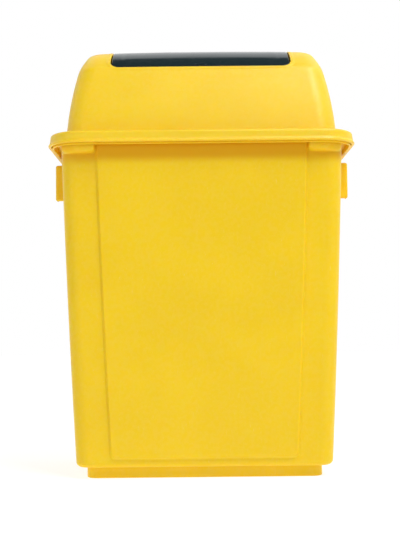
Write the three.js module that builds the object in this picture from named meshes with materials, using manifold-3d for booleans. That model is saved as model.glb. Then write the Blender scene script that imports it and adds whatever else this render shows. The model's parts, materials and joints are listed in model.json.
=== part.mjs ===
// A swing-top waste bin: a tapered rectangular tub with a recessed foot and two side grips, a lift-off hood
// that covers the tub's rim, and an arched flap that swings in the hood on two headed pins.
// Millimetres, +Z up. The origin is the centre of the foot's underside. The front faces -Y.
import * as THREE from "three";
import { mergeVertices } from "three/addons/utils/BufferGeometryUtils.js";
import Module from "manifold-3d";

// ---- Driving dimensions ----
const WALL = 2.6; // thickness of the moulded walls
const GAP = 0.3; // clearance between pieces that touch
const CORNER_STEPS = 6; // straight steps in a rounded corner
const CYLINDER_SIDES = 24;
const OVERCUT = 2; // how far a cutting solid runs past the face that it cuts

// The bead round the bottom of the hood's skirt gives the overall width and depth.
const SKIRT_HALF_WIDTH = 213.5;
const SKIRT_HALF_DEPTH = 160.5;
const SKIRT_RADIUS = 50;
const SKIRT_BOTTOM = 457;
const SKIRT_BEAD = 1.8; // how far the bead stands out from the skirt
const SKIRT_LEAN = 1; // how far the skirt leans in from the bead up to the flange
const BEAD_HEIGHT = 4;
const FLANGE_TOP = 473.5;
const FLANGE_ROUND = 4;

// Tub
const OVERHANG = 19.1; // from the tub's wall, at the rim, out to the hood's bead
const DRAFT = 0.0402; // taper of the tub's walls, per side
const WALL_BOW = 1.2; // how far the side walls bulge at mid-height
const WALL_RADIUS = 21;
const WALL_LEVELS = 6;
const RIM_TOP = 468;
const RIM_BOTTOM = 454.5;
const RIM_HALF_WIDTH = 208;
const RIM_RADIUS = 44.5;
const RIM_LIP = 2.5;
const RIM_ROUND = 2;
const RIM_INNER_ROUND = 1.5; // at the top of the wall's inside
const CHANNEL_TOP = 462; // underside of the rim, between the wall and the hanging lip
const BOTTOM_EDGE = 23; // where the walls start to round in to the underside
const UNDERSIDE = 15.5;
const FOOT_INSET = 14.4;
const FOOT_CHAMFER = 1.5;
const FOOT_TOP_ROUND = 1;
const FOOT_RADIUS = 16;
const PANEL_PROUD = 4; // the front and back panels stand out from the corner posts
const POST_WIDTH = 47.5;
const PANEL_BOTTOM = 26;
const PANEL_SLOPE = 2.5; // width of the sloped step round a panel
const PANEL_ROOT = 1; // how far the panel's block starts behind the wall's face
// Half-ellipsoid under the rim on each corner post
const SHOULDER = { height: 9.5, width: 20, proud: 5 };

// Side grips
const GRIP_TOP = 441;
const GRIP_BOTTOM = 389.3;
const GRIP_HALF_LENGTH = 62;
const GRIP_OUT = 210.5;
const GRIP_WALL = 3;
const GRIP_ARCH_HALF_LENGTH = 50;
const GRIP_ARCH_RISE = 22;
const GRIP_CHAMFER = 1.8;

// Hood
const HOOD_BASE_HALF_WIDTH = 188.2;
const HOOD_TAPER = 0.172; // lean of the end walls, per side
const END_BULGE = 3.6; // crown of the end walls, up to the height given next
const END_BULGE_TOP = 593;
const HOOD_BASE_HALF_DEPTH = 137;
const CREASE_HALF_DEPTH = 110;
const CREASE_HEIGHT = 570;
const HOOD_APEX = 614.5;
const HOOD_RADIUS = 27;
const HOOD_BULGE = 2; // crown of the slanted front and back walls
const HOOD_FILLET = 3; // where the walls meet the flange
const ROOF_STEPS = 9;
const RIDGE_HALF_DEPTH = 6; // the roof's highest ring is this narrow

// Flap
const FLAP_APEX = 616.5;
const FLAP_EDGE_HEIGHT = 572.5;
const FLAP_HALF_DEPTH = 105.5;
const FLAP_HALF_WIDTH = 127;
const FLAP_SKIN = 2.5;
const FLAP_SKIRT_BOTTOM = 564;
const FLAP_SKIRT_LEAN = 1.5;
const FLAP_CLEARANCE = 2;

// Pivot
const PIVOT_HEIGHT = 607;
const PIN_RADIUS = 3;
const PIN_HEAD_RADIUS = 5.5;
const PIN_HEAD_THICKNESS = 2.5;
const BOSS_RADIUS = 6;
const BOSS_LENGTH = 6;
const EAR_THICKNESS = 3.5;
const EAR_HALF_WIDTH = 13;
const EAR_BOTTOM = 592;
const EAR_PLAY = 2; // from the opening's end to the ear
const BOSS_ROOT = 1; // how far a boss stops short of the cheek's outer face
const PIN_CHAMFER = 1;
const PIN_PAST_EAR = 1.5;

// ---- Sizes that follow ----
const TUB_HALF_WIDTH = SKIRT_HALF_WIDTH - OVERHANG;
const TUB_HALF_DEPTH = SKIRT_HALF_DEPTH - OVERHANG;
const DEPTH_CUT = SKIRT_HALF_WIDTH - SKIRT_HALF_DEPTH; // half width minus half depth, everywhere on the tub
const EAR_INNER = FLAP_HALF_WIDTH + FLAP_CLEARANCE + EAR_PLAY;
const PIN_HEAD_INNER = FLAP_HALF_WIDTH - FLAP_SKIN - BOSS_LENGTH - GAP - PIN_HEAD_THICKNESS;
const PIN_END = EAR_INNER + EAR_THICKNESS + PIN_PAST_EAR;

const wasm = await Module();
wasm.setup();

// ---- Solids ----
function toManifold(geometry) {
  const bare = geometry.clone();
  bare.deleteAttribute("normal");
  bare.deleteAttribute("uv");
  const merged = mergeVertices(bare, 1e-4);
  return new wasm.Manifold(
    new wasm.Mesh({
      numProp: 3,
      vertProperties: new Float32Array(merged.attributes.position.array),
      triVerts: new Uint32Array(merged.index.array),
    }),
  );
}

function toGeometry(solid) {
  const mesh = solid.getMesh();
  const geometry = new THREE.BufferGeometry();
  geometry.setAttribute("position", new THREE.BufferAttribute(new Float32Array(mesh.vertProperties), 3));
  geometry.setIndex([...mesh.triVerts]);
  const flat = geometry.toNonIndexed();
  flat.computeVertexNormals();
  return flat;
}

// A closed solid through a stack of convex rings with equal point counts, each end capped flat.
function loft(rings) {
  const count = rings[0].length;
  const points = rings.flat();
  const index = [];
  for (let r = 0; r + 1 < rings.length; r += 1) {
    for (let i = 0; i < count; i += 1) {
      const a = r * count + i;
      const b = r * count + ((i + 1) % count);
      index.push(a, b, b + count, a, b + count, a + count);
    }
  }
  const last = (rings.length - 1) * count;
  for (let i = 1; i + 1 < count; i += 1) {
    index.push(0, i + 1, i);
    index.push(last, last + i, last + i + 1);
  }
  const geometry = new THREE.BufferGeometry().setFromPoints(points);
  geometry.setIndex(index);
  return geometry;
}

// A horizontal rectangle with rounded corners, as points at height z.
function roundedRing(halfWidth, halfDepth, radius, z) {
  const ring = [];
  const corners = [
    [1, 1],
    [-1, 1],
    [-1, -1],
    [1, -1],
  ];
  corners.forEach(([sx, sy], quarter) => {
    for (let step = 0; step <= CORNER_STEPS; step += 1) {
      const angle = (quarter + step / CORNER_STEPS) * (Math.PI / 2);
      const x = sx * (halfWidth - radius) + radius * Math.cos(angle);
      const y = sy * (halfDepth - radius) + radius * Math.sin(angle);
      ring.push(new THREE.Vector3(x, y, z));
    }
  });
  return ring;
}

function box(low, high) {
  const size = new THREE.Vector3().subVectors(high, low);
  const geometry = new THREE.BoxGeometry(size.x, size.y, size.z);
  geometry.translate((low.x + high.x) / 2, (low.y + high.y) / 2, (low.z + high.z) / 2);
  return geometry;
}

// A cylinder on the pivot axis, between two distances from the middle on one side.
function pivotCylinder(side, near, far, radius) {
  const geometry = new THREE.CylinderGeometry(radius, radius, far - near, CYLINDER_SIDES);
  geometry.rotateZ(-Math.PI / 2);
  geometry.translate((side * (near + far)) / 2, 0, PIVOT_HEIGHT);
  return toManifold(geometry);
}

// The same solid on the opposite side of the bin.
function turnRound(solid) {
  return solid.rotate([0, 0, 180]);
}

// ---- Tub ----
// Half the tub's outer width at height z: a straight taper with a slight bulge.
function tubHalfWidth(z) {
  const middle = (RIM_BOTTOM + BOTTOM_EDGE) / 2;
  const reach = (RIM_BOTTOM - BOTTOM_EDGE) / 2;
  const bow = WALL_BOW * (1 - ((z - middle) / reach) ** 2);
  return TUB_HALF_WIDTH - DRAFT * (RIM_BOTTOM - z) + Math.max(0, bow);
}

function tubHalfDepth(z) {
  return TUB_HALF_DEPTH - DRAFT * (RIM_BOTTOM - z);
}

function tubRing(z, inset, radius = WALL_RADIUS - inset) {
  return roundedRing(tubHalfWidth(z) - inset, tubHalfDepth(z) - inset, radius, z);
}

function rimRing(z, inset) {
  return roundedRing(RIM_HALF_WIDTH - inset, RIM_HALF_WIDTH - DEPTH_CUT - inset, RIM_RADIUS - inset, z);
}

// Levels from low to high, evenly spaced.
function levels(low, high, steps) {
  return Array.from({ length: steps + 1 }, (_, i) => low + ((high - low) * i) / steps);
}

function tubShell() {
  const round = BOTTOM_EDGE - UNDERSIDE;
  const bottomRing = (z, inset, radius) => tubRing(BOTTOM_EDGE, inset, radius).map((p) => p.setZ(z));
  const turn = Math.PI / 3; // how far round the bottom edge its middle ring lies
  const outer = [
    bottomRing(0, FOOT_INSET + FOOT_CHAMFER, FOOT_RADIUS - FOOT_CHAMFER),
    bottomRing(FOOT_CHAMFER, FOOT_INSET, FOOT_RADIUS),
    bottomRing(UNDERSIDE - FOOT_TOP_ROUND, FOOT_INSET, FOOT_RADIUS),
    bottomRing(UNDERSIDE, round),
    bottomRing(BOTTOM_EDGE - round * (1 - Math.cos(turn)), round * (1 - Math.sin(turn))),
    ...levels(BOTTOM_EDGE, RIM_BOTTOM, WALL_LEVELS).map((z) => tubRing(z, 0)),
    tubRing(CHANNEL_TOP, 0),
    rimRing(CHANNEL_TOP, RIM_LIP),
    rimRing(RIM_BOTTOM, RIM_LIP),
    rimRing(RIM_BOTTOM, 0),
    rimRing(RIM_TOP - RIM_ROUND, 0),
    rimRing(RIM_TOP, RIM_ROUND),
  ];
  const inner = [
    tubRing(RIM_TOP, WALL - RIM_INNER_ROUND),
    tubRing(RIM_TOP - RIM_INNER_ROUND, WALL),
    ...levels(BOTTOM_EDGE, RIM_BOTTOM, WALL_LEVELS).reverse().map((z) => tubRing(z, WALL)),
    bottomRing(UNDERSIDE + WALL, round + WALL),
    bottomRing(UNDERSIDE + WALL - FOOT_TOP_ROUND, FOOT_INSET + WALL, FOOT_RADIUS - WALL),
    bottomRing(WALL, FOOT_INSET + WALL, FOOT_RADIUS - WALL),
  ];
  return toManifold(loft([...outer, ...inner]));
}

// The block that a front panel adds outside the wall, or, with the wall's thickness as its inset,
// the block that its recess removes inside.
function frontPanel(inset) {
  const ringAt = (z, proud) => {
    const half = tubHalfWidth(z) - POST_WIDTH - inset;
    const face = -tubHalfDepth(z) + inset;
    const slope = (PANEL_SLOPE * proud) / PANEL_PROUD;
    return [
      new THREE.Vector3(-half, face + PANEL_ROOT, z),
      new THREE.Vector3(-half, face, z),
      new THREE.Vector3(-half + slope, face - proud, z),
      new THREE.Vector3(half - slope, face - proud, z),
      new THREE.Vector3(half, face, z),
      new THREE.Vector3(half, face + PANEL_ROOT, z),
    ];
  };
  const bottom = PANEL_BOTTOM + inset;
  const top = inset === 0 ? CHANNEL_TOP : RIM_BOTTOM;
  return toManifold(
    loft([
      ringAt(bottom, PANEL_PROUD / 50),
      ...levels(bottom + PANEL_SLOPE, top, WALL_LEVELS).map((z) => ringAt(z, PANEL_PROUD)),
    ]),
  );
}

// A rounded shoulder under the rim on a front corner post.
function shoulder(side) {
  const geometry = new THREE.SphereGeometry(1, 20, 12);
  geometry.scale(SHOULDER.width, SHOULDER.proud, SHOULDER.height);
  const x = side * (tubHalfWidth(RIM_BOTTOM) - POST_WIDTH + SHOULDER.width);
  geometry.translate(x, -tubHalfDepth(RIM_BOTTOM), RIM_BOTTOM);
  return toManifold(geometry);
}

function binBody() {
  const hollow = toManifold(loft([tubRing(BOTTOM_EDGE, WALL), tubRing(RIM_TOP, WALL)]));
  const front = frontPanel(0).add(shoulder(-1)).add(shoulder(1)).subtract(hollow);
  const recess = frontPanel(WALL);
  return tubShell()
    .add(front)
    .add(turnRound(front))
    .subtract(recess)
    .subtract(turnRound(recess));
}

// ---- Side grips ----
// An apron held off the side wall by a top web and two end webs, open underneath for the fingers.
function sideGrip(side) {
  const webIn = tubHalfWidth(GRIP_BOTTOM);
  const block = box(
    new THREE.Vector3(webIn, -GRIP_HALF_LENGTH, GRIP_BOTTOM),
    new THREE.Vector3(GRIP_OUT, GRIP_HALF_LENGTH, GRIP_TOP),
  );
  const pocket = box(
    new THREE.Vector3(webIn - OVERCUT, -GRIP_HALF_LENGTH + GRIP_WALL, GRIP_BOTTOM - OVERCUT),
    new THREE.Vector3(GRIP_OUT - GRIP_WALL, GRIP_HALF_LENGTH - GRIP_WALL, GRIP_TOP - GRIP_WALL),
  );
  const arch = new THREE.CylinderGeometry(1, 1, 2 * (GRIP_WALL + OVERCUT), CYLINDER_SIDES);
  arch.rotateZ(Math.PI / 2);
  arch.scale(1, GRIP_ARCH_HALF_LENGTH, GRIP_ARCH_RISE);
  arch.translate(GRIP_OUT, 0, GRIP_BOTTOM);
  const wall = loft(levels(GRIP_BOTTOM - OVERCUT, RIM_BOTTOM, WALL_LEVELS).map((z) => tubRing(z, -GAP)));
  let grip = toManifold(block);
  for (const cut of [pocket, arch, wall]) grip = grip.subtract(toManifold(cut));
  for (const height of [GRIP_TOP, GRIP_BOTTOM]) grip = grip.subtract(gripChamfer(height));
  return side > 0 ? grip : turnRound(grip);
}

// Cuts the long outer edge of a grip at one height to a slope.
function gripChamfer(height) {
  const size = GRIP_CHAMFER * Math.SQRT2;
  const geometry = new THREE.BoxGeometry(size, 3 * GRIP_HALF_LENGTH, size);
  geometry.rotateY(Math.PI / 4);
  geometry.translate(GRIP_OUT, 0, height);
  return toManifold(geometry);
}

// ---- Hood ----
// Half the hood's outer width at height z: leaning end walls, slightly crowned.
function hoodHalfWidth(z) {
  const t = Math.min(1, Math.max(0, (z - FLANGE_TOP) / (END_BULGE_TOP - FLANGE_TOP)));
  return HOOD_BASE_HALF_WIDTH - HOOD_TAPER * (z - FLANGE_TOP) + END_BULGE * 4 * t * (1 - t);
}

// Radius of an arch from its half chord and its rise.
function archRadius(halfChord, rise) {
  return (halfChord ** 2 + rise ** 2) / (2 * rise);
}

// Half the hood's outer depth at height z: slanted walls, then an arch above the crease.
function hoodHalfDepth(z) {
  if (z <= CREASE_HEIGHT) {
    const t = (z - FLANGE_TOP) / (CREASE_HEIGHT - FLANGE_TOP);
    const straight = HOOD_BASE_HALF_DEPTH + (CREASE_HALF_DEPTH - HOOD_BASE_HALF_DEPTH) * t;
    return straight + HOOD_BULGE * 4 * t * (1 - t);
  }
  const radius = archRadius(CREASE_HALF_DEPTH, HOOD_APEX - CREASE_HEIGHT);
  const up = z - (HOOD_APEX - radius);
  return Math.sqrt(radius ** 2 - up ** 2);
}

function hoodRing(z, inset) {
  const halfDepth = Math.max(RIDGE_HALF_DEPTH, hoodHalfDepth(z)) - inset;
  const radius = Math.min(HOOD_RADIUS - inset, halfDepth - 1);
  return roundedRing(hoodHalfWidth(z) - inset, halfDepth, radius, z);
}

function skirtRing(z, inset) {
  return roundedRing(SKIRT_HALF_WIDTH - inset, SKIRT_HALF_DEPTH - inset, SKIRT_RADIUS - inset, z);
}

function hoodShell() {
  const ridge = HOOD_APEX - GAP;
  const flangeInset = SKIRT_BEAD + SKIRT_LEAN;
  const roof = Array.from({ length: ROOF_STEPS }, (_, i) => {
    const turn = (((i + 1) / ROOF_STEPS) * Math.PI) / 2;
    return CREASE_HEIGHT + (ridge - CREASE_HEIGHT) * Math.sin(turn);
  });
  const wall = levels(FLANGE_TOP + HOOD_FILLET, CREASE_HEIGHT, WALL_LEVELS);
  const lowered = (ring, drop) => ring.map((p) => p.setZ(p.z - drop));
  const foot = (spread) => roundedRing(
    HOOD_BASE_HALF_WIDTH + spread,
    HOOD_BASE_HALF_DEPTH + spread,
    HOOD_RADIUS + spread,
    FLANGE_TOP,
  );
  const inner = [
    ...roof.map((z) => lowered(hoodRing(z, WALL), WALL)).reverse(),
    ...wall.map((z) => hoodRing(z, WALL)).reverse(),
    lowered(foot(-WALL), WALL),
    skirtRing(FLANGE_TOP - WALL, flangeInset + WALL),
    skirtRing(SKIRT_BOTTOM, SKIRT_BEAD + WALL),
  ];
  const outer = [
    skirtRing(SKIRT_BOTTOM, 0),
    skirtRing(SKIRT_BOTTOM + BEAD_HEIGHT, 0),
    skirtRing(SKIRT_BOTTOM + BEAD_HEIGHT + SKIRT_BEAD, SKIRT_BEAD),
    skirtRing(FLANGE_TOP - FLANGE_ROUND, flangeInset),
    skirtRing(FLANGE_TOP - FLANGE_ROUND / 3, flangeInset + FLANGE_ROUND / 3),
    skirtRing(FLANGE_TOP, flangeInset + FLANGE_ROUND),
    foot(HOOD_FILLET),
    ...wall.map((z) => hoodRing(z, 0)),
    ...roof.map((z) => hoodRing(z, 0)),
  ];
  return toManifold(loft([...inner, ...outer]));
}

// A hanger for a pivot pin, under the roof just beyond the flap's end.
function hangerEar(side) {
  const ends = [side * EAR_INNER, side * (EAR_INNER + EAR_THICKNESS)];
  const ear = box(
    new THREE.Vector3(Math.min(...ends), -EAR_HALF_WIDTH, EAR_BOTTOM),
    new THREE.Vector3(Math.max(...ends), EAR_HALF_WIDTH, HOOD_APEX - WALL),
  );
  return toManifold(ear);
}

function hood() {
  const openingHalfWidth = FLAP_HALF_WIDTH + FLAP_CLEARANCE;
  const openingHalfDepth = FLAP_HALF_DEPTH + FLAP_CLEARANCE;
  const opening = box(
    new THREE.Vector3(-openingHalfWidth, -openingHalfDepth, CREASE_HEIGHT - WALL - OVERCUT),
    new THREE.Vector3(openingHalfWidth, openingHalfDepth, HOOD_APEX + OVERCUT),
  );
  let solid = hoodShell().subtract(toManifold(opening));
  for (const side of [-1, 1]) {
    const hole = pivotCylinder(side, EAR_INNER - OVERCUT, PIN_END + OVERCUT, PIN_RADIUS + GAP);
    solid = solid.add(hangerEar(side)).subtract(hole);
  }
  return solid;
}

// ---- Flap ----
// Outline of the flap in depth and height: an arch over two short skirts, closed along the bottom.
function flapOutline(inset, bottom) {
  const radius = archRadius(FLAP_HALF_DEPTH, FLAP_APEX - FLAP_EDGE_HEIGHT) - inset;
  const centre = FLAP_APEX - inset - radius;
  const half = FLAP_HALF_DEPTH - inset;
  const spread = Math.asin(half / radius);
  const outline = new THREE.Shape();
  outline.moveTo(half - FLAP_SKIRT_LEAN, bottom);
  outline.absarc(0, centre, radius, Math.PI / 2 - spread, Math.PI / 2 + spread, false);
  outline.lineTo(-half + FLAP_SKIRT_LEAN, bottom);
  return outline;
}

// Extrudes an outline drawn in depth and height along X, centred.
function alongX(outline, halfLength) {
  const geometry = new THREE.ExtrudeGeometry(outline, {
    depth: 2 * halfLength,
    bevelEnabled: false,
    curveSegments: CYLINDER_SIDES,
  });
  geometry.translate(0, 0, -halfLength);
  geometry.rotateX(Math.PI / 2);
  geometry.rotateZ(Math.PI / 2);
  return toManifold(geometry);
}

function swingFlap() {
  const cheek = FLAP_HALF_WIDTH - FLAP_SKIN;
  const hollowBottom = FLAP_SKIRT_BOTTOM - OVERCUT;
  let solid = alongX(flapOutline(0, FLAP_SKIRT_BOTTOM), FLAP_HALF_WIDTH)
    .subtract(alongX(flapOutline(FLAP_SKIN, hollowBottom), cheek));
  for (const side of [-1, 1]) {
    const boss = pivotCylinder(side, cheek - BOSS_LENGTH, FLAP_HALF_WIDTH - BOSS_ROOT, BOSS_RADIUS);
    const holeStart = cheek - BOSS_LENGTH - OVERCUT;
    const hole = pivotCylinder(side, holeStart, FLAP_HALF_WIDTH + OVERCUT, PIN_RADIUS + GAP);
    solid = solid.add(boss).subtract(hole);
  }
  return solid;
}

// ---- Pivot pins ----
// A headed pin: its head inside the flap, its shank through the flap's cheek and into the hood's ear.
function pivotPin(side) {
  const profile = [
    new THREE.Vector2(0, PIN_HEAD_INNER),
    new THREE.Vector2(PIN_HEAD_RADIUS - PIN_CHAMFER, PIN_HEAD_INNER),
    new THREE.Vector2(PIN_HEAD_RADIUS, PIN_HEAD_INNER + PIN_CHAMFER),
    new THREE.Vector2(PIN_HEAD_RADIUS, PIN_HEAD_INNER + PIN_HEAD_THICKNESS),
    new THREE.Vector2(PIN_RADIUS, PIN_HEAD_INNER + PIN_HEAD_THICKNESS),
    new THREE.Vector2(PIN_RADIUS, PIN_END - PIN_CHAMFER),
    new THREE.Vector2(PIN_RADIUS - PIN_CHAMFER, PIN_END),
    new THREE.Vector2(0, PIN_END),
  ];
  const geometry = new THREE.LatheGeometry(profile, CYLINDER_SIDES);
  geometry.rotateZ((-Math.PI / 2) * side);
  geometry.translate(0, 0, PIVOT_HEIGHT);
  return toManifold(geometry);
}

// ---- Materials and assembly ----
function finish(color, roughness, metalness = 0) {
  return new THREE.MeshStandardMaterial({ color, roughness, metalness });
}

const yellowPlastic = () => finish(0xf6cd2d, 0.38);
const darkPlastic = () => finish(0x2f3a3e, 0.3);
const steel = () => finish(0xb8bcc0, 0.35, 1);

const bin = new THREE.Group();

function addPiece(name, solid, material) {
  const mesh = new THREE.Mesh(toGeometry(solid), material);
  mesh.name = name;
  bin.add(mesh);
}

addPiece("bin_body", binBody(), yellowPlastic());
addPiece("side_grip_left", sideGrip(-1), yellowPlastic());
addPiece("side_grip_right", sideGrip(1), yellowPlastic());
addPiece("hood", hood(), yellowPlastic());
addPiece("swing_flap", swingFlap(), darkPlastic());
addPiece("pivot_pin_left", pivotPin(-1), steel());
addPiece("pivot_pin_right", pivotPin(1), steel());

export default bin;
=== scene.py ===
"""Looks for the swing-top waste bin: moulded surfaces, plastics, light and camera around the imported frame.

Shapes are worked out in millimetres and stored in metres, in the CAD's own frame: +Z up, front at -Y.
"""

import json
import math

import bpy
import numpy as np
from mathutils import Euler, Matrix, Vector


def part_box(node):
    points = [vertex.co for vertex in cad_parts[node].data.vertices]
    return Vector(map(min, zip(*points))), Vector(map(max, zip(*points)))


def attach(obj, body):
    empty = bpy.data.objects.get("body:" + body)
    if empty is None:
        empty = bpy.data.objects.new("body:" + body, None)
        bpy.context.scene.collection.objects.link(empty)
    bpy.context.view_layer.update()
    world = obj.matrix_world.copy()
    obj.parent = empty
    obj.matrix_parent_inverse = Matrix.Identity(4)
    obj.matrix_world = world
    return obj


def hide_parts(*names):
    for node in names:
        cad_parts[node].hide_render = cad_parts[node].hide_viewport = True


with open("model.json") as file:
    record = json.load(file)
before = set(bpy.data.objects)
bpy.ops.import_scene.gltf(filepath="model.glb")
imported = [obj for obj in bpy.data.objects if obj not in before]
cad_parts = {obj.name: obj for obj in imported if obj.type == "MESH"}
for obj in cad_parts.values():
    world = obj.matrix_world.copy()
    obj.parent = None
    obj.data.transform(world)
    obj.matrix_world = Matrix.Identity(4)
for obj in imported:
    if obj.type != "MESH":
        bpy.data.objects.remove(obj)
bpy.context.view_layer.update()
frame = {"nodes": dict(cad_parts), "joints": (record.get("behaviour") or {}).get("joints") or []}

MM = 0.001


# ---- Sizes read from the frame, in millimetres ----
def box_mm(node):
    low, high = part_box(node)
    return np.array(low) / MM, np.array(high) / MM


tub_high = box_mm("bin_body")[1]
hood_low, hood_high = box_mm("hood")
flap_low, flap_high = box_mm("swing_flap")
grip_low, grip_high = box_mm("side_grip_right")
pivot_height = frame["joints"][1]["pos_m"][2] / MM

# ---- Shape constants that the boxes don't give, in millimetres ----
WALL = 2.6
SKIRT_RADIUS = 50.0
SKIRT_BEAD = 1.8
SKIRT_LEAN = 1.0
FLARE_HEIGHT = 4.6
FLANGE_TOP = 473.5
FLANGE_ROUND = 4.0
OVERHANG = 19.1
DRAFT = 0.0402
WALL_BOW = 1.2
WALL_RADIUS = 21.0
RIM_BOTTOM = 454.5
RIM_RADIUS = 44.5
RIM_LIP = 2.5
CHANNEL_TOP = 462.0
BOTTOM_EDGE = 23.0
UNDERSIDE = 15.5
FOOT_INSET = 14.4
FOOT_RADIUS = 16.0
FOOT_ROUND = 1.5
FOOT_TOP_ROUND = 1.2
FOOT_MIDDLE = 8.0
FOOT_RECESS = 1.0
PANEL_PROUD = 4.0
POST_WIDTH = 47.5
PANEL_BOTTOM = 26.0
PANEL_STEP = 4.5
PANEL_RADIUS = 9.0
SHOULDER_PROUD = 8.0
SHOULDER_HEIGHT = 10.5
SHOULDER_START = -4.0
SHOULDER_LENGTH = 54.0
SHOULDER_CORNER_PROUD = 4.0
SHOULDER_SQUARENESS = 4.0
SHOULDER_FADE = 3.0
SHOULDER_END_SHARE = 0.2

HOOD_TAPER = 0.172
END_BULGE = 3.6
END_BULGE_TOP = 593.0
HOOD_BASE_HALF_WIDTH = 188.2
HOOD_BASE_HALF_DEPTH = 137.0
CREASE_HALF_DEPTH = 110.0
CREASE_HEIGHT = 570.0
HOOD_APEX = 614.5
HOOD_RADIUS = 27.0
HOOD_BULGE = 2.0
OPENING_RADIUS = 13.5
LIP_RADIUS = 1.3
LIP_WIDTH = 4.0
LIP_RISE = 0.6

FLAP_EDGE_HEIGHT = 572.5
FLAP_SKIN = 2.5
FLAP_ROUND = 2.2
FLAP_CORNER = 13.0
FLAP_CROWN = 1.2
FLAP_SKIRT_LEAN = 1.5
FLAP_CLEARANCE = 2.0
FLAP_END_GAP = 0.9
BOSS_RADIUS = 6.0
BOSS_LENGTH = 6.0
EAR_THICKNESS = 3.5
EAR_HALF_WIDTH = 13.0
EAR_BOTTOM = 592.0
PIN_HOLE_RADIUS = 3.3
CUT_PAST = 2.0

GRIP_WALL = 3.0
GRIP_ARCH_HALF_LENGTH = 50.0
GRIP_ARCH_RISE = 22.0

skirt_half = hood_high[:2]
rim_half = np.array([tub_high[0], tub_high[0] - (skirt_half[0] - skirt_half[1])])
flap_half = flap_high[:2]


# ---- Mesh helpers ----
def new_mesh_object(name, points, faces, material):
    """A smooth-shaded mesh object from points in millimetres."""
    mesh = bpy.data.meshes.new(name)
    mesh.from_pydata((np.asarray(points) * MM).tolist(), [], faces)
    mesh.validate()
    mesh.update()
    mesh.polygons.foreach_set("use_smooth", [True] * len(mesh.polygons))
    obj = bpy.data.objects.new(name, mesh)
    bpy.context.scene.collection.objects.link(obj)
    obj.data.materials.append(material)
    return obj


def weight_normals(obj):
    """Keeps large faces flat in the shading beside their small rounded edges."""
    modifier = obj.modifiers.new("weighted_normals", "WEIGHTED_NORMAL")
    modifier.weight = 80
    modifier.keep_sharp = True


def stack_faces(ring_count, size, loop=False):
    """Quads between neighbouring rings, and from the last ring to the first when loop is set."""
    faces = []
    steps = ring_count if loop else ring_count - 1
    for r in range(steps):
        low = r * size
        high = ((r + 1) % ring_count) * size
        for i in range(size):
            j = (i + 1) % size
            faces.append((low + i, low + j, high + j, high + i))
    return faces


def stack(rings, cap_first=False, cap_last=False, loop=False):
    """Points and faces of a stack of rings. A cap closes an end with a fan to the ring's centre."""
    size = len(rings[0])
    points = np.concatenate(rings)
    faces = stack_faces(len(rings), size, loop)
    for wanted, ring, first, flip in (
        (cap_first, rings[0], 0, True),
        (cap_last, rings[-1], (len(rings) - 1) * size, False),
    ):
        if not wanted:
            continue
        centre = len(points)
        points = np.vstack([points, np.mean(ring, axis=0)])
        for i in range(size):
            a, b = first + i, first + (i + 1) % size
            faces.append((b, a, centre) if flip else (a, b, centre))
    return points, faces


def ring_normals(ring):
    """Unit outward normals in plan of a ring that runs counter-clockwise seen from above."""
    ahead = np.roll(ring[:, :2], -1, axis=0) - np.roll(ring[:, :2], 1, axis=0)
    normal = np.stack([ahead[:, 1], -ahead[:, 0]], axis=1)
    return normal / np.maximum(np.linalg.norm(normal, axis=1, keepdims=True), 1e-9)


def smoothstep(t):
    t = np.clip(t, 0.0, 1.0)
    return t * t * (3.0 - 2.0 * t)


def rounded_ring(half_x, half_y, radius, z, front_xs, side_count, corner_steps):
    """A rounded rectangle. front_xs are the x values of its points along the front, from left to right."""
    front_xs = np.asarray(front_xs)
    ys = np.linspace(-(half_y - radius), half_y - radius, side_count)
    turns = np.linspace(0.0, math.pi / 2, corner_steps + 1)[1:-1]

    def corner(cx, cy, start):
        return [(cx + radius * math.cos(start + t), cy + radius * math.sin(start + t)) for t in turns]

    cx, cy = half_x - radius, half_y - radius
    plan = [(x, -half_y) for x in front_xs]
    plan += corner(cx, -cy, -math.pi / 2)
    plan += [(half_x, y) for y in ys]
    plan += corner(cx, cy, 0.0)
    plan += [(x, half_y) for x in front_xs[::-1]]
    plan += corner(-cx, cy, math.pi / 2)
    plan += [(-half_x, y) for y in ys[::-1]]
    plan += corner(-cx, -cy, math.pi)
    ring = np.zeros((len(plan), 3))
    ring[:, :2] = plan
    ring[:, 2] = z
    return ring


def arc_steps(count):
    """Angles that cut a quarter circle into equal steps."""
    return np.linspace(0.0, math.pi / 2, count + 1)


# ---- Tub ----
def tub_half_width(z):
    middle = (RIM_BOTTOM + BOTTOM_EDGE) / 2
    reach = (RIM_BOTTOM - BOTTOM_EDGE) / 2
    bow = WALL_BOW * (1 - ((z - middle) / reach) ** 2)
    return skirt_half[0] - OVERHANG - DRAFT * (RIM_BOTTOM - z) + max(0.0, bow)


def tub_half_depth(z):
    return skirt_half[1] - OVERHANG - DRAFT * (RIM_BOTTOM - z)


def panel_half_width(z):
    return tub_half_width(z) - POST_WIDTH


def tub_front_xs(half_x, radius, z):
    """Places along the front edge: fine at the panel's steps, and on the posts for their shoulders."""
    panel = panel_half_width(max(z, BOTTOM_EDGE))
    edge = half_x - radius
    margin = 1.5
    step_start, step_end = panel + margin, panel - PANEL_STEP - margin
    post = np.linspace(edge, step_start, 13, endpoint=False)
    step = np.linspace(step_start, step_end, 12, endpoint=False)
    face = np.linspace(step_end, 0.0, 14)
    right = np.concatenate([post, step, face])
    return np.concatenate([-right, right[::-1][1:]])


TUB_SIDES = 25
TUB_CORNER_STEPS = 16


def tub_ring(z, inset=0.0, radius=None, level=None):
    """Outline of the plain tub at height z; level gives the height whose size it takes."""
    level = z if level is None else level
    radius = WALL_RADIUS - inset if radius is None else radius
    half_x, half_y = tub_half_width(level) - inset, tub_half_depth(level) - inset
    xs = tub_front_xs(half_x, radius, level)
    return rounded_ring(half_x, half_y, radius, z, xs, TUB_SIDES, TUB_CORNER_STEPS)


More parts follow.
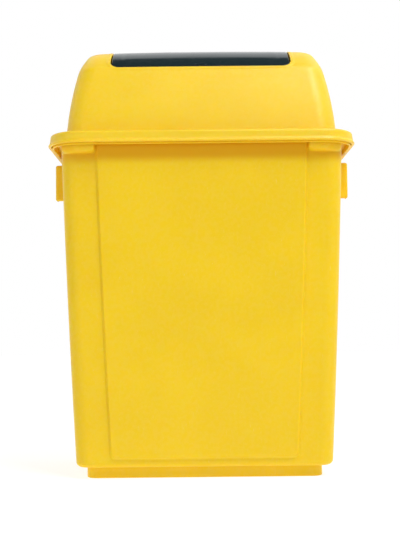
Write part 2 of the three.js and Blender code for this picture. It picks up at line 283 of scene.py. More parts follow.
def base_ring(z, inset, radius=None):
    """A ring at height z with the outline that the walls have at their bottom edge."""
    return tub_ring(z, inset, radius, level=BOTTOM_EDGE)


def rim_ring(z, inset):
    half_x, half_y = rim_half - inset
    radius = RIM_RADIUS - inset
    xs = tub_front_xs(half_x, radius, RIM_BOTTOM)
    return rounded_ring(half_x, half_y, radius, z, xs, TUB_SIDES, TUB_CORNER_STEPS)


def panel_height(x, z):
    """How far the front or back panel stands out at x, z: a soft step round a rounded rectangle."""
    corner_x = np.maximum(np.abs(x) - (panel_half_width(z) - PANEL_RADIUS), 0.0)
    corner_z = max(PANEL_BOTTOM + PANEL_RADIUS - z, 0.0)
    inside = PANEL_RADIUS - np.hypot(corner_x, corner_z)
    return PANEL_PROUD * smoothstep(inside / PANEL_STEP)


def shoulder_height(ring, z):
    """How far the shoulder on each corner post stands out.

    A place on the outline is given by its distance along it from the panel's edge, round to the corner.
    """
    panel = panel_half_width(z)
    edge = tub_half_width(z) - WALL_RADIUS
    cx, cy = edge, tub_half_depth(z) - WALL_RADIUS
    x, y = np.abs(ring[:, 0]), np.abs(ring[:, 1])
    angle = np.arctan2(np.maximum(x - cx, 0.0), np.maximum(y - cy, 1e-6))
    along = np.where(x <= edge, x - panel, edge - panel + WALL_RADIUS * angle)
    off_the_post = 1e3
    along = np.where(y < cy, off_the_post, along)
    place = (along - SHOULDER_START - SHOULDER_LENGTH / 2) / (SHOULDER_LENGTH / 2)
    reach = SHOULDER_HEIGHT * np.clip(1.0 - np.abs(place) ** SHOULDER_SQUARENESS, 0.0, 1.0) ** 0.5
    drop = RIM_BOTTOM - z
    depth = np.clip(drop / np.maximum(reach, 1e-6), 0.0, 1.0)
    fade = np.sqrt(np.clip(1.0 - depth ** SHOULDER_FADE, 0.0, 1.0))
    ends = smoothstep((1.0 - np.abs(place)) / SHOULDER_END_SHARE)
    corner_start, corner_length = 0.7 * (edge - panel), 0.9 * WALL_RADIUS
    round_corner = smoothstep((along - corner_start) / corner_length)
    proud = SHOULDER_PROUD + (SHOULDER_CORNER_PROUD - SHOULDER_PROUD) * round_corner
    least_reach = 0.05
    return proud * fade * ends * (reach > least_reach)


def with_relief(ring, z, shoulders=True):
    """Adds the panels, and the shoulders outside, to a plain outline."""
    on_face = np.abs(np.abs(ring[:, 1]) - tub_half_depth(z)) < 1e-6
    out = ring.copy()
    rise = panel_height(ring[:, 0], z) * on_face
    out[:, 1] += np.sign(ring[:, 1]) * rise
    if shoulders:
        lift = np.maximum(shoulder_height(ring, z) - rise, 0.0)
        out[:, :2] += ring_normals(ring) * lift[:, None]
    return out


def tub_outer_rings():
    """The foot, the rounded bottom edge and the walls up into the rim's channel, with its outline."""
    round_size = BOTTOM_EDGE - UNDERSIDE
    rings = []
    for t in arc_steps(4):
        narrower = FOOT_ROUND * (1 - math.sin(t))
        height = FOOT_ROUND * (1 - math.cos(t))
        rings.append(base_ring(height, FOOT_INSET + narrower, FOOT_RADIUS - narrower))
    rings.append(base_ring(FOOT_MIDDLE, FOOT_INSET, FOOT_RADIUS))
    for t in arc_steps(4):
        wider = FOOT_TOP_ROUND * (1 - math.cos(t))
        height = UNDERSIDE - FOOT_TOP_ROUND * (1 - math.sin(t))
        rings.append(base_ring(height, FOOT_INSET - wider, FOOT_RADIUS + wider))
    for t in arc_steps(8):
        inset = round_size * (1 - math.sin(t))
        rings.append(base_ring(BOTTOM_EDGE - round_size * math.cos(t), inset))
    fine_step = 0.7
    low = np.arange(BOTTOM_EDGE + fine_step, PANEL_BOTTOM + PANEL_RADIUS + 1.0, fine_step)
    middle = np.linspace(low[-1], RIM_BOTTOM - SHOULDER_HEIGHT - 2.0, 44)[1:]
    high = np.linspace(middle[-1], RIM_BOTTOM, 18)[1:]
    for z in np.concatenate([low, middle, high]):
        rings.append(with_relief(tub_ring(z), z))
    channel = with_relief(tub_ring(RIM_BOTTOM), RIM_BOTTOM)
    for z in (RIM_BOTTOM + 2.0, CHANNEL_TOP - 1.5):
        ring = channel.copy()
        ring[:, 2] = z
        rings.append(ring)
    return rings, channel


def tub_rim_rings(channel):
    """The channel under the rim, its hanging lip, and the rim's top."""
    rings = []
    lip = rim_ring(CHANNEL_TOP, RIM_LIP)
    for share in (0.12, 0.88):
        ring = channel * (1 - share) + lip * share
        ring[:, 2] = CHANNEL_TOP
        rings.append(ring)
    rings.append(rim_ring(CHANNEL_TOP - 1.5, RIM_LIP))
    lip_round = 1.0
    for t in arc_steps(3):
        height = RIM_BOTTOM + lip_round * (1 - math.sin(t))
        rings.append(rim_ring(height, RIM_LIP - lip_round * (1 - math.cos(t))))
    for t in arc_steps(3):
        height = RIM_BOTTOM + lip_round * (1 - math.cos(t))
        rings.append(rim_ring(height, lip_round * (1 - math.sin(t))))
    top_round = 2.0
    rim_top = tub_high[2]
    for t in arc_steps(4):
        rings.append(rim_ring(rim_top - top_round * (1 - math.sin(t)), top_round * (1 - math.cos(t))))
    return rings


def shell_in(ring, z):
    """The inner face of the wall at this outline."""
    out = ring.copy()
    out[:, :2] -= ring_normals(ring) * WALL
    out[:, 2] = z
    return out


def tub_inner_rings():
    """The rim's inner edge, the inner faces of the walls and the floor, from the top down."""
    rings = []
    rim_top = tub_high[2]
    edge_round = 1.5
    for t in arc_steps(3):
        ring = with_relief(tub_ring(RIM_BOTTOM), RIM_BOTTOM, shoulders=False)
        ring[:, :2] -= ring_normals(ring) * (WALL - edge_round * (1 - math.sin(t)))
        ring[:, 2] = rim_top - edge_round * (1 - math.cos(t))
        rings.append(ring)
    fine_step = 1.5
    low = np.arange(BOTTOM_EDGE + fine_step, PANEL_BOTTOM + PANEL_RADIUS + 2.0, fine_step)
    for z in np.concatenate([np.linspace(RIM_BOTTOM, low[-1], 24)[:-1], low[::-1]]):
        rings.append(shell_in(with_relief(tub_ring(z), z, shoulders=False), z))
    round_size = BOTTOM_EDGE - UNDERSIDE
    for t in arc_steps(5)[::-1]:
        inset = WALL + (round_size - 0.5) * (1 - math.sin(t))
        rings.append(base_ring(BOTTOM_EDGE - (round_size - WALL) * math.cos(t), inset))
    well_inset, well_radius = FOOT_INSET + WALL, FOOT_RADIUS - WALL
    well_round = 2.0
    rings.append(base_ring(UNDERSIDE + WALL - 1.0, well_inset, well_radius))
    rings.append(base_ring(WALL + well_round, well_inset, well_radius))
    rings.append(base_ring(WALL, well_inset + well_round, well_radius - well_round))
    for share in (0.7, 0.35):
        ring = rings[-1].copy()
        ring[:, :2] *= share
        rings.append(ring)
    return rings


def underside_rings():
    """The foot's underside, from its centre out: a shallow recess inside a flat border."""
    border = base_ring(0.0, FOOT_INSET + FOOT_ROUND, FOOT_RADIUS - FOOT_ROUND)
    recess = [(share, FOOT_RECESS) for share in (0.3, 0.6, 0.915)]
    step = [(0.925, FOOT_RECESS / 2), (0.935, 0.0)]
    rings = []
    for share, z in recess + step:
        ring = border.copy()
        ring[:, :2] *= share
        ring[:, 2] = z
        rings.append(ring)
    return rings


def build_tub(material):
    """One closed skin: underside, outside, rim and inside."""
    outer, channel = tub_outer_rings()
    rings = underside_rings() + outer + tub_rim_rings(channel) + tub_inner_rings()
    points, faces = stack(rings, cap_first=True, cap_last=True)
    tub = new_mesh_object("tub_moulding", points, faces, material)
    weight_normals(tub)
    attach(tub, "tub")
    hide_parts("bin_body")
    return tub


# ---- Hood ----
def hood_half_width(z):
    t = np.clip((z - FLANGE_TOP) / (END_BULGE_TOP - FLANGE_TOP), 0.0, 1.0)
    return HOOD_BASE_HALF_WIDTH - HOOD_TAPER * (z - FLANGE_TOP) + END_BULGE * 4 * t * (1 - t)


def arch_radius(half_chord, rise):
    return (half_chord ** 2 + rise ** 2) / (2 * rise)


def hood_half_depth(z):
    t = (z - FLANGE_TOP) / (CREASE_HEIGHT - FLANGE_TOP)
    lean = (CREASE_HALF_DEPTH - HOOD_BASE_HALF_DEPTH) * t
    wall = HOOD_BASE_HALF_DEPTH + lean + HOOD_BULGE * 4 * t * (1 - t)
    radius = arch_radius(CREASE_HALF_DEPTH, HOOD_APEX - CREASE_HEIGHT)
    up = z - (HOOD_APEX - radius)
    arch = np.sqrt(np.maximum(radius ** 2 - up ** 2, 0.0))
    return np.where(z <= CREASE_HEIGHT, wall, arch)


def inside_hood(points):
    """Whether each point lies inside the hood's outer form."""
    x, y, z = np.abs(points[..., 0]), np.abs(points[..., 1]), points[..., 2]
    half_x, half_y = hood_half_width(z), hood_half_depth(z)
    radius = np.clip(half_y - 1.0, 1.0, HOOD_RADIUS)
    dx, dy = x - (half_x - radius), y - (half_y - radius)
    corner = np.hypot(np.maximum(dx, 0.0), np.maximum(dy, 0.0)) <= radius
    return (z <= HOOD_APEX) & (x <= half_x) & (y <= half_y) & corner


HOOD_SIDES = 41
HOOD_FRONT = 61
HOOD_CORNER_STEPS = 14
LIP_ROWS = 14


def plain_ring(half_x, half_y, radius, z):
    xs = np.linspace(-(half_x - radius), half_x - radius, HOOD_FRONT)
    return rounded_ring(half_x, half_y, radius, z, xs, HOOD_SIDES, HOOD_CORNER_STEPS)


def hood_surface(base_height, rows):
    """The hood's outer surface as rows of rings, from the base up to the opening's edge.

    Each point is where a ray from the opening's outline leaves the hood's form. The ray turns from level to
    straight up, and halving the distance again and again finds the place.
    """
    opening = flap_half + np.array([FLAP_END_GAP, FLAP_CLEARANCE]) + LIP_RADIUS
    top = plain_ring(opening[0], opening[1], OPENING_RADIUS, base_height)
    base_half = float(hood_half_width(base_height)), float(hood_half_depth(base_height))
    base = plain_ring(base_half[0], base_half[1], HOOD_RADIUS, base_height)
    out = base - top
    out /= np.linalg.norm(out, axis=1, keepdims=True)
    samples, halvings, beyond = 260, 40, 260.0
    crowding = 1.6
    turn = 1.0 - (1.0 - np.linspace(0.0, 1.0, samples)) ** crowding
    lines = np.zeros((samples, len(top), 3))
    for k, share in enumerate(turn):
        angle = share * math.pi / 2
        ray = out * math.cos(angle) + np.array([0.0, 0.0, math.sin(angle)])
        near, far = np.zeros(len(top)), np.full(len(top), beyond)
        for _ in range(halvings):
            middle = (near + far) / 2
            inside = inside_hood(top + ray * middle[:, None])
            near = np.where(inside, middle, near)
            far = np.where(inside, far, middle)
        lines[k] = top + ray * near[:, None]
    return spread_rows(soften_rows(lines, 3), rows, LIP_ROWS)


def soften_rows(lines, passes):
    """Rounds the crease between wall and roof by averaging along each line, with its ends held."""
    lines = spread_rows(lines, 90)
    for _ in range(passes):
        lines[1:-1] = 0.25 * lines[:-2] + 0.5 * lines[1:-1] + 0.25 * lines[2:]
    return lines


def spread_rows(lines, rows, fine=0):
    """Even spacing along each line from first row to last. fine adds rows for the lip at the end."""
    steps = np.linalg.norm(np.diff(lines, axis=0), axis=2)
    length = np.vstack([np.zeros(lines.shape[1]), np.cumsum(steps, axis=0)])
    out = np.zeros((rows + fine, lines.shape[1], 3))
    for i in range(lines.shape[1]):
        end = length[-1, i]
        start = end - (1.5 * LIP_WIDTH if fine else 0.0)
        wanted = np.concatenate([np.linspace(0.0, start, rows), np.linspace(start, end, fine + 1)[1:]])
        for axis in range(3):
            out[:, i, axis] = np.interp(wanted, length[:, i], lines[:, i, axis])
    return out


def grid_normals(grid):
    """Unit normals of a grid of rings, pointing out of the hood."""
    around = np.roll(grid, -1, axis=1) - np.roll(grid, 1, axis=1)
    up = np.gradient(grid, axis=0)
    normal = np.cross(around, up)
    return normal / np.linalg.norm(normal, axis=2, keepdims=True)


def skirt_profile():
    """Insets and heights down the flange's edge, the skirt and its bead, and up inside, from the top."""
    bottom = hood_low[2]
    edge_height = 1.4
    lean_left = 0.15 * SKIRT_LEAN
    profile = []
    for t in arc_steps(5):
        inset = SKIRT_BEAD + SKIRT_LEAN + FLANGE_ROUND * (1 - math.sin(t))
        profile.append((inset, FLANGE_TOP - FLANGE_ROUND * (1 - math.cos(t))))
    flare_top = bottom + edge_height + FLARE_HEIGHT
    for share in np.linspace(0.0, 1.0, 9):
        inset = SKIRT_BEAD * (1.0 - smoothstep(share)) + lean_left * (1.0 - share)
        profile.append((float(inset), flare_top - FLARE_HEIGHT * share))
    profile += [(0.0, bottom + 1.3), (0.25, bottom + 0.5), (0.9, bottom)]
    inside = SKIRT_BEAD + WALL
    profile += [(inside - 0.7, bottom), (inside - 0.2, bottom + 0.2), (inside, bottom + 0.8)]
    under = FLANGE_TOP - WALL
    profile += [(inside, under - 2.0), (inside + 0.5, under - 0.6), (inside + 2.0, under)]
    return profile


def raise_lip(outer, normals):
    """Lifts the roof next to the opening into a low rounded lip."""
    steps = np.linalg.norm(np.diff(outer, axis=0), axis=2)
    to_edge = np.cumsum(steps[::-1], axis=0)[::-1]
    to_edge = np.vstack([to_edge, np.zeros(outer.shape[1])])
    lift = LIP_RISE * smoothstep((1.35 * LIP_WIDTH - to_edge) / (0.8 * LIP_WIDTH))
    return outer + normals * lift[:, :, None]


def hood_lip_rings(surface, edge, edge_normal):
    """The opening's rounded edge, from the roof's outer face to its inner face."""
    tangent = np.gradient(surface, axis=0)[-1]
    tangent /= np.linalg.norm(tangent, axis=1, keepdims=True)
    rings = []
    for t in arc_steps(4)[1:]:
        rings.append(edge + LIP_RADIUS * (tangent * math.sin(t) - edge_normal * (1 - math.cos(t))))
    lip_bottom = WALL + LIP_RISE
    under_round = LIP_RADIUS * 0.6
    for t in arc_steps(3):
        depth = lip_bottom - under_round * (1 - math.sin(t))
        out = LIP_RADIUS - under_round * (1 - math.cos(t))
        rings.append(edge + tangent * out - edge_normal * depth)
    return rings


def build_hood(material):
    """One closed skin: outside up to the opening, over its lip, down inside, round the skirt and back."""
    fillet = 3.0
    base_height = FLANGE_TOP + fillet
    surface = hood_surface(base_height, 60)
    normals = grid_normals(surface)
    outer = raise_lip(surface, normals)
    rows = len(outer)
    rings = [outer[k] for k in range(rows)]
    rings += hood_lip_rings(surface, outer[-1], normals[-1])
    inner = surface - normals * WALL
    rings += [inner[k] for k in range(rows - 2, -1, -3)]
    base_inner = inner[0].copy()
    base_inner[:, 2] = FLANGE_TOP - WALL
    rings.append(base_inner)
    base = outer[0]
    base_normal = ring_normals(base)
    for inset, height in reversed(skirt_profile()):
        half_x, half_y = skirt_half - inset
        rings.append(plain_ring(half_x, half_y, SKIRT_RADIUS - inset, height))
    for t in arc_steps(5)[:-1]:
        ring = base.copy()
        ring[:, :2] += base_normal * fillet * (1 - math.sin(t))
        ring[:, 2] = FLANGE_TOP + fillet * (1 - math.cos(t))
        rings.append(ring)
    points, faces = stack(rings, loop=True)
    hood = new_mesh_object("hood_moulding", points, faces, material)
    weight_normals(hood)
    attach(hood, "hood")
    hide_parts("hood")
    return hood


def apply_modifier(obj, kind, **settings):
    modifier = obj.modifiers.new(kind.lower(), kind)
    for key, value in settings.items():
        setattr(modifier, key, value)
    bpy.context.view_layer.objects.active = obj
    bpy.ops.object.modifier_apply(modifier=modifier.name)


def block(name, low, high, material, bevel):
    """A box between two corners with rounded edges."""
    x0, y0, z0 = low
    x1, y1, z1 = high
    points = [(x, y, z) for z in (z0, z1) for x, y in ((x0, y0), (x1, y0), (x1, y1), (x0, y1))]
    faces = [(3, 2, 1, 0), (4, 5, 6, 7), (0, 1, 5, 4), (1, 2, 6, 5), (2, 3, 7, 6), (3, 0, 4, 7)]
    obj = new_mesh_object(name, points, faces, material)
    apply_modifier(obj, "BEVEL", width=bevel * MM, segments=4)
    return obj


def round_bar(name, x0, x1, y, z, radius, material, scale=(1.0, 1.0)):
    """A closed cylinder along X; scale stretches it in Y and Z."""
    sides = 48
    turn = np.linspace(0.0, 2 * math.pi, sides, endpoint=False)
    rings = []
    for x in (x0, x1):
        ring = np.zeros((sides, 3))
        ring[:, 0] = x
        ring[:, 1] = y + radius * scale[0] * np.cos(turn)
        ring[:, 2] = z + radius * scale[1] * np.sin(turn)
        rings.append(ring)
    points, faces = stack(rings, cap_first=True, cap_last=True)
    return new_mesh_object(name, points, faces, material)


def cut_with(obj, cutter):
    """Cuts the cutter's shape out of the object and deletes the cutter."""
    apply_modifier(obj, "BOOLEAN", operation="DIFFERENCE", solver="EXACT", object=cutter)
    bpy.data.objects.remove(cutter)


def pin_hole(xs, material):
    """A cutter for a pin's hole, which runs past the piece at both ends."""
    ends = xs[0] - CUT_PAST, xs[1] + CUT_PAST
    return round_bar("hole", ends[0], ends[1], 0.0, pivot_height, PIN_HOLE_RADIUS, material)


def build_hanger_ear(side, material):
    """The ear under the hood's roof that holds a pivot pin."""
    inner = flap_half[0] + FLAP_CLEARANCE + 2.0
    xs = sorted((side * inner, side * (inner + EAR_THICKNESS)))
    name = "hanger_ear_right" if side > 0 else "hanger_ear_left"
    roof = HOOD_APEX - WALL - 0.6
    low, high = (xs[0], -EAR_HALF_WIDTH, EAR_BOTTOM), (xs[1], EAR_HALF_WIDTH, roof)
    ear = block(name, low, high, material, bevel=0.8)
    cut_with(ear, pin_hole(xs, material))
    ear.data.set_sharp_from_angle(angle=math.radians(35))
    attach(ear, "hood")
    return ear


# ---- Flap ----
FLAP_FRONT = 61
FLAP_SIDES = 57
FLAP_CORNER_STEPS = 8


def flap_outline(inset):
    """Outline of the flap's skin laid flat: x along the pivot, y as distance along the arch."""
    radius = arch_radius(flap_half[1], flap_high[2] - FLAP_EDGE_HEIGHT)
    half_x = flap_half[0] - inset
    half_y = radius * math.asin(flap_half[1] / radius) - inset
    corner = max(FLAP_CORNER - inset, 0.05)
    xs = np.linspace(-(half_x - corner), half_x - corner, FLAP_FRONT)
    return rounded_ring(half_x, half_y, corner, 0.0, xs, FLAP_SIDES, FLAP_CORNER_STEPS)


def bend(flat, depth):
    """Lays a flat outline on the arch, depth below its outer surface."""
    radius = arch_radius(flap_half[1], flap_high[2] - FLAP_EDGE_HEIGHT)
    centre = flap_high[2] - radius
    angle = flat[:, 1] / radius
    reach = radius - depth - FLAP_CROWN * (flat[:, 0] / flap_half[0]) ** 2
    out = flat.copy()
    out[:, 1] = reach * np.sin(angle)
    out[:, 2] = centre + reach * np.cos(angle)
    return out


def flap_skin(depth, first_inset):
    """Rings of the skin from its middle line out to an inset from the edge."""
    half_y = float(np.max(flap_outline(0.0)[:, 1]))
    middle = np.linspace(half_y - 0.3, FLAP_CORNER + 2.0, 16)
    insets = np.concatenate([middle, [FLAP_CORNER, 5.5, first_inset]])
    rings = []
    for inset in insets:
        rings.append(bend(flap_outline(inset), depth))
    return rings


def flap_bottom(edge, inset, lift):
    """The lower edge under each point of the skin's edge."""
    out = edge.copy()
    shrink_x = (flap_half[0] - inset) / flap_half[0]
    shrink_y = (flap_half[1] - FLAP_SKIRT_LEAN - inset) / flap_half[1]
    out[:, 0] *= shrink_x
    out[:, 1] *= shrink_y
    out[:, 2] = flap_low[2] + lift
    return out


def build_flap(material):
    """One closed skin: the arched top, its hanging edge, and the same again inside."""
    rings = flap_skin(0.0, FLAP_ROUND)
    for t in arc_steps(5)[1:]:
        flat = flap_outline(FLAP_ROUND * (1 - math.sin(t)))
        rings.append(bend(flat, FLAP_ROUND * (1 - math.cos(t))))
    edge = rings[-1]
    bottom_round = 0.8
    start = flap_bottom(edge, 0.0, bottom_round)
    for share in (0.06, 0.2, 0.4, 0.6, 0.8, 1.0):
        rings.append(edge * (1 - share) + start * share)
    for t in arc_steps(3)[1:]:
        inset = bottom_round * (1 - math.cos(t))
        rings.append(flap_bottom(edge, inset, bottom_round * (1 - math.sin(t))))
    for t in arc_steps(3):
        inset = FLAP_SKIN - bottom_round * (1 - math.sin(t))
        rings.append(flap_bottom(edge, inset, bottom_round * (1 - math.cos(t))))
    inner_edge = bend(flap_outline(FLAP_SKIN), FLAP_SKIN + 1.5)
    low = rings[-1]
    for share in (0.25, 0.5, 0.75, 1.0):
        rings.append(low * (1 - share) + inner_edge * share)
    rings += flap_skin(FLAP_SKIN, FLAP_SKIN + 1.5)[::-1]
    points, faces = stack(rings, cap_first=True, cap_last=True)
    flap = new_mesh_object("flap_moulding", points, faces, material)
    weight_normals(flap)
    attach(flap, "flap")
    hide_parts("swing_flap")
    return flap


def build_flap_boss(side, material):
    """The boss inside a cheek that the pivot pin turns in."""
    start = flap_half[0] - FLAP_SKIN - BOSS_LENGTH
    xs = sorted((side * start, side * (flap_half[0] - 1.0)))
    name = "flap_boss_right" if side > 0 else "flap_boss_left"
    boss = round_bar(name, xs[0], xs[1], 0.0, pivot_height, BOSS_RADIUS, material)
    cut_with(boss, pin_hole(xs, material))
    boss.data.set_sharp_from_angle(angle=math.radians(35))
    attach(boss, "flap")
    return boss


def build_flap_mark(material):
    """A small raised oval near the middle of the flap's front edge."""
    around, section = 64, 12
    half_long, half_short, thickness = 8.0, 2.4, 0.8
    from_edge = 5.6
    half_y = float(np.max(flap_outline(0.0)[:, 1]))
    rings = []
    for turn in np.linspace(0.0, 2 * math.pi, around, endpoint=False):
        ring = []
        for angle in np.linspace(0.0, 2 * math.pi, section, endpoint=False):
            reach = thickness * math.cos(angle)
            x = (half_long + reach) * math.cos(turn)
            y = -half_y + from_edge + (half_short + reach) * math.sin(turn)
            ring.append(bend(np.array([[x, y, 0.0]]), -thickness * math.sin(angle))[0])
        rings.append(np.array(ring))
    points, faces = stack(rings, loop=True)
    mark = new_mesh_object("flap_mark", points, faces, material)
    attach(mark, "flap")
    return mark


# ---- Side grips ----
def build_grip(side, material):
    """A rounded apron on a top web and two end webs, hollow behind and arched underneath.

    Both are made on the right. The left one is then turned half a turn about the bin's upright axis.
    """
    low, high = grip_low, grip_high
    name = "grip_right" if side > 0 else "grip_left"
    into_wall, past = 6.0, 20.0
    grip = block(name, (low[0] - into_wall, low[1], low[2]), high, material, bevel=3.0)
    pocket_low = (low[0] - past, low[1] + GRIP_WALL, low[2] - 12.0)
    pocket_high = high - GRIP_WALL
    cut_with(grip, block("pocket", pocket_low, pocket_high, material, bevel=1.5))
    scale = (GRIP_ARCH_HALF_LENGTH, GRIP_ARCH_RISE)
    arch = round_bar("arch", high[0] - 9.0, high[0] + 6.0, 0.0, low[2], 1.0, material, scale)
    cut_with(grip, arch)
    wall = [tub_ring(z) for z in np.linspace(low[2] - past, high[2] + past, 9)]
    points, faces = stack(wall, cap_first=True, cap_last=True)
    cut_with(grip, new_mesh_object("wall", points, faces, material))
    bevel = grip.modifiers.new("edges", "BEVEL")
    bevel.width = 0.7 * MM
    bevel.segments = 3
    bevel.limit_method = "ANGLE"
    bevel.angle_limit = math.radians(50)
    weight_normals(grip)
    if side < 0:
        for vertex in grip.data.vertices:
            vertex.co.x, vertex.co.y = -vertex.co.x, -vertex.co.y
    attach(grip, "tub")
    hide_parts("side_grip_right" if side > 0 else "side_grip_left")
    return grip


# ---- Materials ----
WHITE = (1.0, 1.0, 1.0, 1.0)


class Nodes:
    """Short calls for building a material's node tree."""

    def __init__(self, name):
        self.material = bpy.data.materials.new(name)
        self.material.use_nodes = True
        self.tree = self.material.node_tree
        self.shader = self.tree.nodes["Principled BSDF"]

    def add(self, kind, inputs=None, **settings):
        node = self.tree.nodes.new(kind)
        for key, value in settings.items():
            setattr(node, key, value)
        for key, value in (inputs or {}).items():
            if isinstance(value, bpy.types.NodeSocket):
                self.tree.links.new(value, node.inputs[key])
            else:
                node.inputs[key].default_value = value
        return node

    def link(self, output, target):
        self.tree.links.new(output, target)

    def coordinates(self, scale=(1.0, 1.0, 1.0), rotation=(0.0, 0.0, 0.0)):
        place = self.add("ShaderNodeTexCoord")
        inputs = {"Vector": place.outputs["Object"], "Scale": scale, "Rotation": rotation}
        return self.add("ShaderNodeMapping", inputs).outputs["Vector"]

    def noise(self, scale, detail=2.0, roughness=0.5, vector=None):
        vector = self.coordinates() if vector is None else vector
        inputs = {"Vector": vector, "Scale": scale, "Detail": detail, "Roughness": roughness}
        return self.add("ShaderNodeTexNoise", inputs).outputs["Fac"]

    def ramp(self, value, low, high, to_low=0.0, to_high=1.0):
        inputs = {"Value": value, "From Min": low, "From Max": high, "To Min": to_low, "To Max": to_high}
        return self.add("ShaderNodeMapRange", inputs, interpolation_type="SMOOTHSTEP").outputs["Result"]

    def maths(self, operation, a, b):
        return self.add("ShaderNodeMath", {0: a, 1: b}, operation=operation).outputs["Value"]

    def mix(self, share, a, b):
        node = self.add("ShaderNodeMix", data_type="RGBA")
        for socket, value in ((node.inputs[0], share), (node.inputs[6], a), (node.inputs[7], b)):
            if isinstance(value, bpy.types.NodeSocket):
                self.link(value, socket)
            else:
                socket.default_value = value
        return node.outputs[2]


def scratch_mask(nodes, density, rotation, seed):
    """Thin, short marks: stretched cells with a narrow line along the middle of a few of them."""
    along = density * 0.09
    vector = nodes.coordinates((density, along, along), rotation)
    wobble = nodes.noise(3.0 + seed, 2.0, 0.5, vector)
    shift = (seed * 7.1, seed * 3.7, seed * 5.3)
    moved = nodes.add("ShaderNodeVectorMath", {0: vector, 1: shift}, operation="ADD").outputs["Vector"]
    inputs = {"Vector": moved, "Scale": 1.0}
    cells = nodes.add("ShaderNodeTexVoronoi", inputs, feature="DISTANCE_TO_EDGE")
    line = nodes.ramp(cells.outputs["Distance"], 0.0, 0.02, 1.0, 0.0)
    return nodes.maths("MULTIPLY", line, nodes.ramp(wobble, 0.62, 0.72))


def speck_mask(nodes, scale, size):
    """Small round dots, in a few cells only."""
    cells = nodes.add("ShaderNodeTexVoronoi", {"Vector": nodes.coordinates(), "Scale": scale}, feature="F1")
    dot = nodes.ramp(cells.outputs["Distance"], size * 0.6, size, 1.0, 0.0)
    chance = nodes.add("ShaderNodeSeparateColor", {"Color": cells.outputs["Color"]}).outputs["Red"]
    return nodes.maths("MULTIPLY", dot, nodes.ramp(chance, 0.9, 0.92))


def marked_colour(nodes, colour, scratches, wear, paling):
    """The plastic's colour with mottling, pale grain, scratches, dark specks and rubbed edges."""
    plain = [*colour, 1.0]
    deep = [c * 0.9 for c in colour] + [1.0]
    pale = [c + (1.0 - c) * paling for c in colour] + [1.0]
    dark = [c * 0.35 for c in colour] + [1.0]
    mottle = nodes.noise(9.0, 3.0, 0.55)
    base = nodes.mix(nodes.ramp(mottle, 0.35, 0.65, 0.0, 0.35), plain, deep)
    fine = nodes.noise(160.0, 2.0, 0.6)
    base = nodes.mix(nodes.ramp(fine, 0.3, 0.7, 0.0, 0.1), base, pale)
    base = nodes.mix(nodes.maths("MULTIPLY", scratches, wear), base, pale)
    specks = speck_mask(nodes, scale=38.0, size=0.022)
    base = nodes.mix(nodes.maths("MULTIPLY", specks, wear), base, dark)
    edges = nodes.add("ShaderNodeNewGeometry").outputs["Pointiness"]
    patches = nodes.ramp(nodes.noise(30.0, 4.0), 0.4, 0.7)
    rubbed = nodes.maths("MULTIPLY", nodes.ramp(edges, 0.52, 0.6), patches)
    return nodes.mix(nodes.maths("MULTIPLY", rubbed, 0.3), base, pale)


def moulded_bumps(nodes, scratches, waves, grain):
    """The surface's slow waves, then its fine grain, then its scratches."""
    swell = nodes.noise(14.0, 1.0, 0.4)
    texture = nodes.noise(1400.0, 2.0, 0.6)
    inputs = {"Height": swell, "Strength": waves, "Distance": 0.004}
    normal = nodes.add("ShaderNodeBump", inputs).outputs["Normal"]
    inputs = {"Height": texture, "Strength": grain, "Distance": 0.0002, "Normal": normal}
    normal = nodes.add("ShaderNodeBump", inputs).outputs["Normal"]
    inputs = {"Height": scratches, "Strength": 0.25, "Distance": 0.0001, "Normal": normal}
    return nodes.add("ShaderNodeBump", inputs, invert=True).outputs["Normal"]


def moulded_plastic(
    name, colour, roughness, wear, grain, gloss,
    waves=0.06, gloss_tint=WHITE, glow=0.0, painted_shade=None, paling=0.22,
):
    """Moulded polypropylene: soft mottling, fine grain, hairline scratches, a few specks and rubbed edges.

    wear is how much scratches and specks show, paling how far pale marks go from the colour towards white,
    glow how much light passes under the surface, and the shade mask, if given, says where a deeper orange is
    painted in as shade under the rim.
    """
    nodes = Nodes(name)
    shader = nodes.shader.inputs
    scratches = nodes.maths(
        "MAXIMUM",
        scratch_mask(nodes, density=260.0, rotation=(0.3, 0.9, 0.5), seed=1.0),
        scratch_mask(nodes, density=190.0, rotation=(0.9, 0.2, 1.4), seed=2.0),
    )
    base = marked_colour(nodes, colour, scratches, wear, paling)
    # Painted shade: a deeper orange mixed into the colour where the mask says the rim shades the wall.
    if painted_shade:
        base = nodes.mix(painted_shade(nodes), base, SHADE_ORANGE)
    nodes.link(base, shader["Base Color"])
    rough = nodes.ramp(nodes.noise(22.0, 4.0, 0.6), 0.3, 0.7, roughness - 0.05, roughness + 0.07)
    rough = nodes.maths("ADD", rough, nodes.maths("MULTIPLY", scratches, 0.12))
    nodes.link(rough, shader["Roughness"])
    nodes.link(moulded_bumps(nodes, scratches, waves, grain), shader["Normal"])
    shader["IOR"].default_value = 1.49
    shader["Specular IOR Level"].default_value = gloss
    shader["Specular Tint"].default_value = gloss_tint
    if glow:
        shader["Subsurface Weight"].default_value = glow
        shader["Subsurface Scale"].default_value = 0.006
        shader["Subsurface Radius"].default_value = (1.0, 0.4, 0.08)
    return nodes.material


